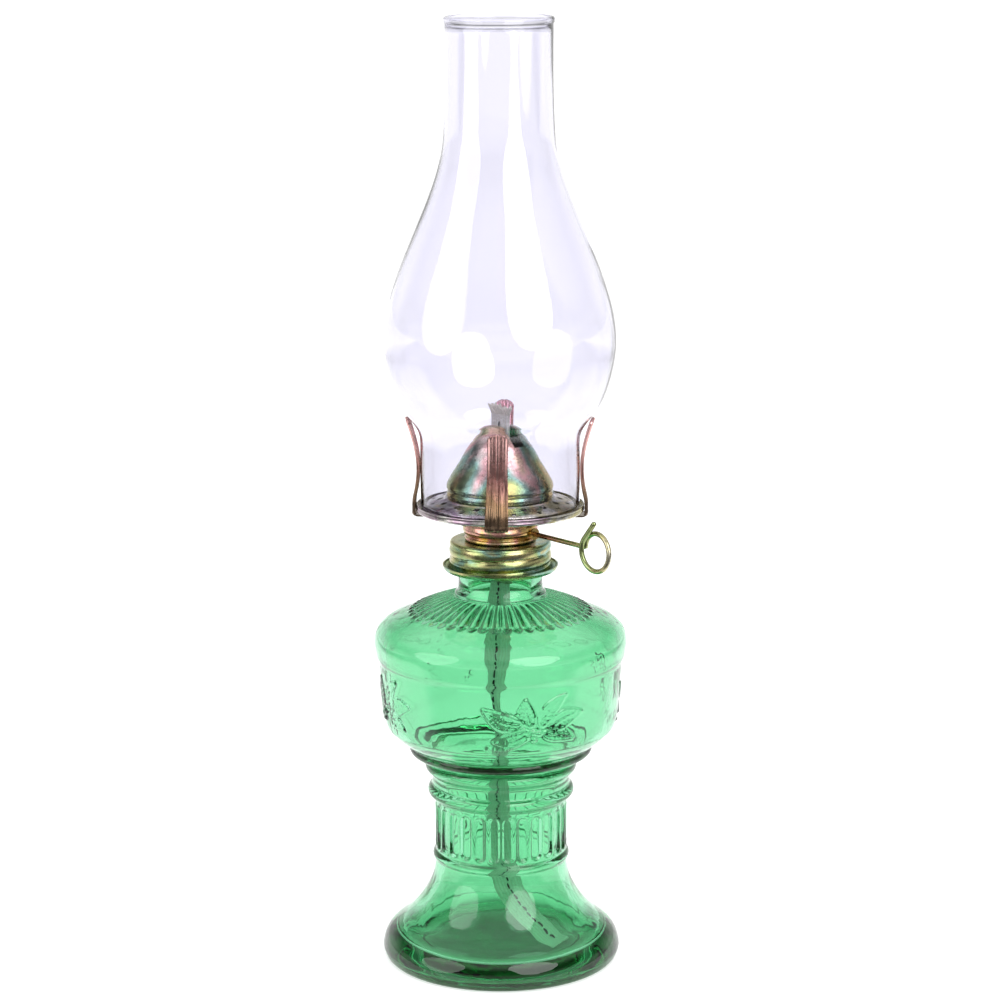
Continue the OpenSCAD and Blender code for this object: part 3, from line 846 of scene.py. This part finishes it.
# ---------------------------------------------------------------- prongs
def prong_geometry(angle, lean):
    """A springy strip with three lengthwise flutes and a rounded tip, hooked under the gallery's rim."""
    line = np.array(resample(curve([
        (24.2, 154.75), (26.4, 154.8), (28.3, 154.95), (28.95, 155.5), (28.9, 156.6), (28.8, 160),
        (27.95, 164.2), (27.45, 168.5), (27.45, 173), (28.2, 178), (29.7, 183.6), (31.2, 187.8)], 8), 0.5))
    normals = normals_of(line, False)
    along = np.concatenate([[0], np.cumsum(np.linalg.norm(np.diff(line, axis=0), axis=1))])
    total = along[-1]
    across = np.linspace(-1, 1, 25)
    points, directions = [], []
    for (r, z), (nr, nz), s in zip(line, normals, along):
        half = 3.8 - 0.6 * smoothstep((s - 8) / (total - 8))
        tip = min((total - s) / 2.6, 1)
        half *= math.sqrt(max(1 - (1 - tip) ** 2.4, 0.05))
        row, way = [], []
        for x in across:
            edge = smoothstep((1 - abs(x)) / 0.16)
            flute = 0.36 * math.cos(3 * math.pi * x * min(half / 3.1, 1))
            flute *= smoothstep((s - 3.5) / 2)
            flute *= 0.35 + 0.65 * edge
            w = x * half + lean * (z - 171) / 30
            rr, zz = r + flute * nr, z + flute * nz
            a = math.radians(angle) + w / 28.5
            row.append((rr * math.cos(a), rr * math.sin(a), zz))
            way.append((nr * math.cos(a), nr * math.sin(a), nz))
        points.append(row)
        directions.append(way)
    return thick_grid(points, directions, 0.5)


for place, angle, lean in (("right", 0, 0.2), ("back", 90, -0.2), ("left", 180, -0.2), ("front", 270, 0.6)):
    make(f"prong_{place}_fluted", prong_geometry(angle + PRONG_TURN, lean), PRONG_METAL, f"prong_{place}",
         [f"prong_{place}"])


# ---------------------------------------------------------------- wick key
def key_geometry():
    """One wire: a straight shaft, a finger ring that closes once, and a short free end."""
    wire_r, loop_x, loop_r, drop = 0.85, 44.7, 6.2, 0.7
    lean, turn = 1.9, 400            # the ring's end stands beside its start, so many degrees on

    def loop_point(a):
        return (loop_x - loop_r * math.cos(math.radians(a)), SHAFT_Y - lean * a / turn,
                KEY_Z - drop + loop_r * math.sin(math.radians(a)))

    start = loop_x - loop_r - 2
    path = [(x, SHAFT_Y, KEY_Z) for x in np.linspace(-7.5, start, 12)]
    path += [loop_point(a) for a in np.linspace(8, turn, 60)]
    end = np.array(path[-1])
    way = np.array([math.sin(math.radians(turn)), 0, math.cos(math.radians(turn))])
    path += [tuple(end + way * f) for f in (2, 4, 6, 7.4)]
    fine = resample(curve(path, 3), 0.6)
    return turned(tube(fine, wire_r), KEY_ANGLE)


make("wick_key_wire", key_geometry(), KEY_METAL, "key", ["wick_key"])


# ---------------------------------------------------------------- wick
def tufts():
    """The wick's burnt-off yarn ends."""
    rng = np.random.default_rng(7)
    parts = []
    for i in range(11):
        for j in range(3):
            x = -4.2 + i * 0.84 + rng.uniform(-0.15, 0.15)
            y = (j - 1) * (0.42 if 0 < i < 10 else 0.2) + rng.uniform(-0.05, 0.05)
            height = rng.uniform(1.6, 3.6)
            lean = rng.uniform(-0.7, 0.7, 2) + np.array([0.14 * x, 0.5 * (j - 1)])
            base = np.array([x, y, WICK_TOP - 2.35])
            path = [base + np.array([lean[0] * f * f, lean[1] * f * f, height * f])
                    for f in np.linspace(0, 1, 6)]
            radius = np.array([0.36, 0.44, 0.5, 0.52, 0.44, 0.26])
            parts.append(tube(path, radius, 7, 1))
    return turned(joined(parts), KEY_ANGLE)


wick_route = [(0, 0, z) for z in np.arange(WICK_BOTTOM, WICK_TOP - 1.6, 0.9)]
wick_turns = [0] * len(wick_route)
wick_geometry, wick_uv = ribbon(wick_route, wick_turns, WICK_W - 0.1, WICK_T)
wick = make("wick_braid", wick_geometry, COTTON, "wick", ["wick"], sharp=60)
set_uv(wick, wick_uv)
make("wick_yarn_ends", tufts(), COTTON, "wick")
make("wick_marker_thread", stitches(wick_route, wick_turns, WICK_T), THREAD, "wick")


# ---------------------------------------------------------------- CAD nodes that stay
for node, material in {
    "neck_gasket": GASKET, "tube_plate": TUBE_METAL, "wick_tube": TUBE_METAL, "vent_tube": TUBE_METAL,
    "shaft_cradle": TUBE_METAL, "shaft_bush": CUP_METAL, "spur_wheel_inner": PLAIN_STEEL,
    "spur_wheel_outer": PLAIN_STEEL, "shaft_collar": PLAIN_STEEL,
}.items():
    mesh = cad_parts[node].data
    mesh.materials.clear()
    mesh.materials.append(material)


# ---------------------------------------------------------------- floor, light and look
def make_floor():
    """A white table. It glows round and behind the lamp and far in front, and it is dark just in front and
    out to the sides. Under the foot its glow is dimmed as a painted contact shadow."""
    reach = 30
    mesh = bpy.data.meshes.new("floor")
    mesh.from_pydata([(-reach, -reach, 0), (reach, -reach, 0), (reach, reach, 0), (-reach, reach, 0)], [],
                     [(0, 1, 2, 3)])
    floor = bpy.data.objects.new("floor", mesh)
    bpy.context.scene.collection.objects.link(floor)
    floor.location.z = -0.0002
    material, tree = new_material("white_table")
    place = add(tree, "ShaderNodeSeparateXYZ", {0: object_point(tree)}).outputs
    ahead = ranged(tree, place[1], 0.0, 1.0, -0.12, -0.062)
    far = ranged(tree, place[1], 0.65, 0.0, -1.6, -0.7)
    aside = ranged(tree, math_node(tree, "ABSOLUTE", place[0], 0.0), 1.0, 0.0, 0.35, 0.75)
    behind = ranged(tree, place[1], 0.0, 1.0, 0.3, 1.2)
    lit = math_node(tree, "MULTIPLY", ahead, math_node(tree, "MAXIMUM", aside, behind))
    lit = math_node(tree, "MAXIMUM", lit, far)
    shade = ramp(tree, lit, [(0.0, (0.10, 0.10, 0.10)), (1.0, (0.6, 0.6, 0.6))])
    away = add(tree, "ShaderNodeVectorMath", {0: object_point(tree)}, operation="LENGTH").outputs["Value"]
    # Painted contact shadow: the glow falls to 0.12 of its strength under the lamp's foot and comes back in
    # full beyond it.
    outside_painted_shadow = ranged(tree, away, 0.12, 1.0, 0.022, 0.043)
    glow = math_node(tree, "MULTIPLY", ranged(tree, lit, 0.03, 0.8), outside_painted_shadow)
    shader = add(tree, "ShaderNodeBsdfPrincipled", {
        "Base Color": shade, "Roughness": 0.9, "Specular IOR Level": 0.0, "Emission Color": (1, 1, 1, 1),
        "Emission Strength": glow})
    finish_material(tree, shader)
    mesh.materials.append(material)


def make_light(name, azimuth, elevation, distance, size, power):
    """A soft box, placed by its direction from the lamp in degrees, where azimuth 0 is the camera's side."""
    data = bpy.data.lights.new(name, "AREA")
    data.shape = "ELLIPSE"
    data.size, data.size_y = size
    data.energy = power
    light = bpy.data.objects.new(name, data)
    a, e = math.radians(azimuth), math.radians(elevation)
    way = Vector((math.sin(a) * math.cos(e), -math.cos(a) * math.cos(e), math.sin(e)))
    target = Vector((0, 0, 0.16))
    light.location = target + way * distance
    light.rotation_euler = way.to_track_quat("Z", "Y").to_euler()
    light.visible_camera = False
    bpy.context.scene.collection.objects.link(light)


def make_world():
    """A white sheet behind the lamp, in a room with dim walls and a bright ceiling."""
    world = bpy.data.worlds.new("studio")
    bpy.context.scene.world = world
    world.use_nodes = True
    tree = world.node_tree
    tree.nodes.clear()
    direction = add(tree, "ShaderNodeTexCoord").outputs["Generated"]
    way = add(tree, "ShaderNodeSeparateXYZ", {0: direction}).outputs
    back = ranged(tree, way[1], 0.0, 1.0, 0.25, 0.6)
    low = ranged(tree, way[2], 1.0, 0.0, 0.12, 0.5)
    sheet = math_node(tree, "MULTIPLY", back, low)
    greys = [(0.0, 0.6), (0.12, 0.65), (0.22, 0.1), (0.45, 0.1), (0.68, 0.9), (1.0, 0.9)]    # by height
    room = ramp(tree, way[2], [(z, (g, g, g)) for z, g in greys])
    colour = ramp(tree, math_node(tree, "MAXIMUM", sheet, room), [(0.0, (0, 0, 0)), (1.0, (1, 1, 1))])
    background = add(tree, "ShaderNodeBackground", {"Color": colour, "Strength": 1.0})
    add(tree, "ShaderNodeOutputWorld", {"Surface": background.outputs[0]})


make_floor()
make_light("key_box", 33, 27, 1.2, (1.0, 1.15), 10)
make_light("fill_box", -62, 20, 1.3, (1.1, 1.2), 7)
make_world()
scene = bpy.context.scene
scene.view_settings.view_transform = "Standard"
scene.view_settings.look = "None"
scene.cycles.use_denoising = True
scene.cycles.max_bounces = 24
scene.cycles.transmission_bounces = 24
scene.cycles.glossy_bounces = 10
scene.cycles.sample_clamp_indirect = 10
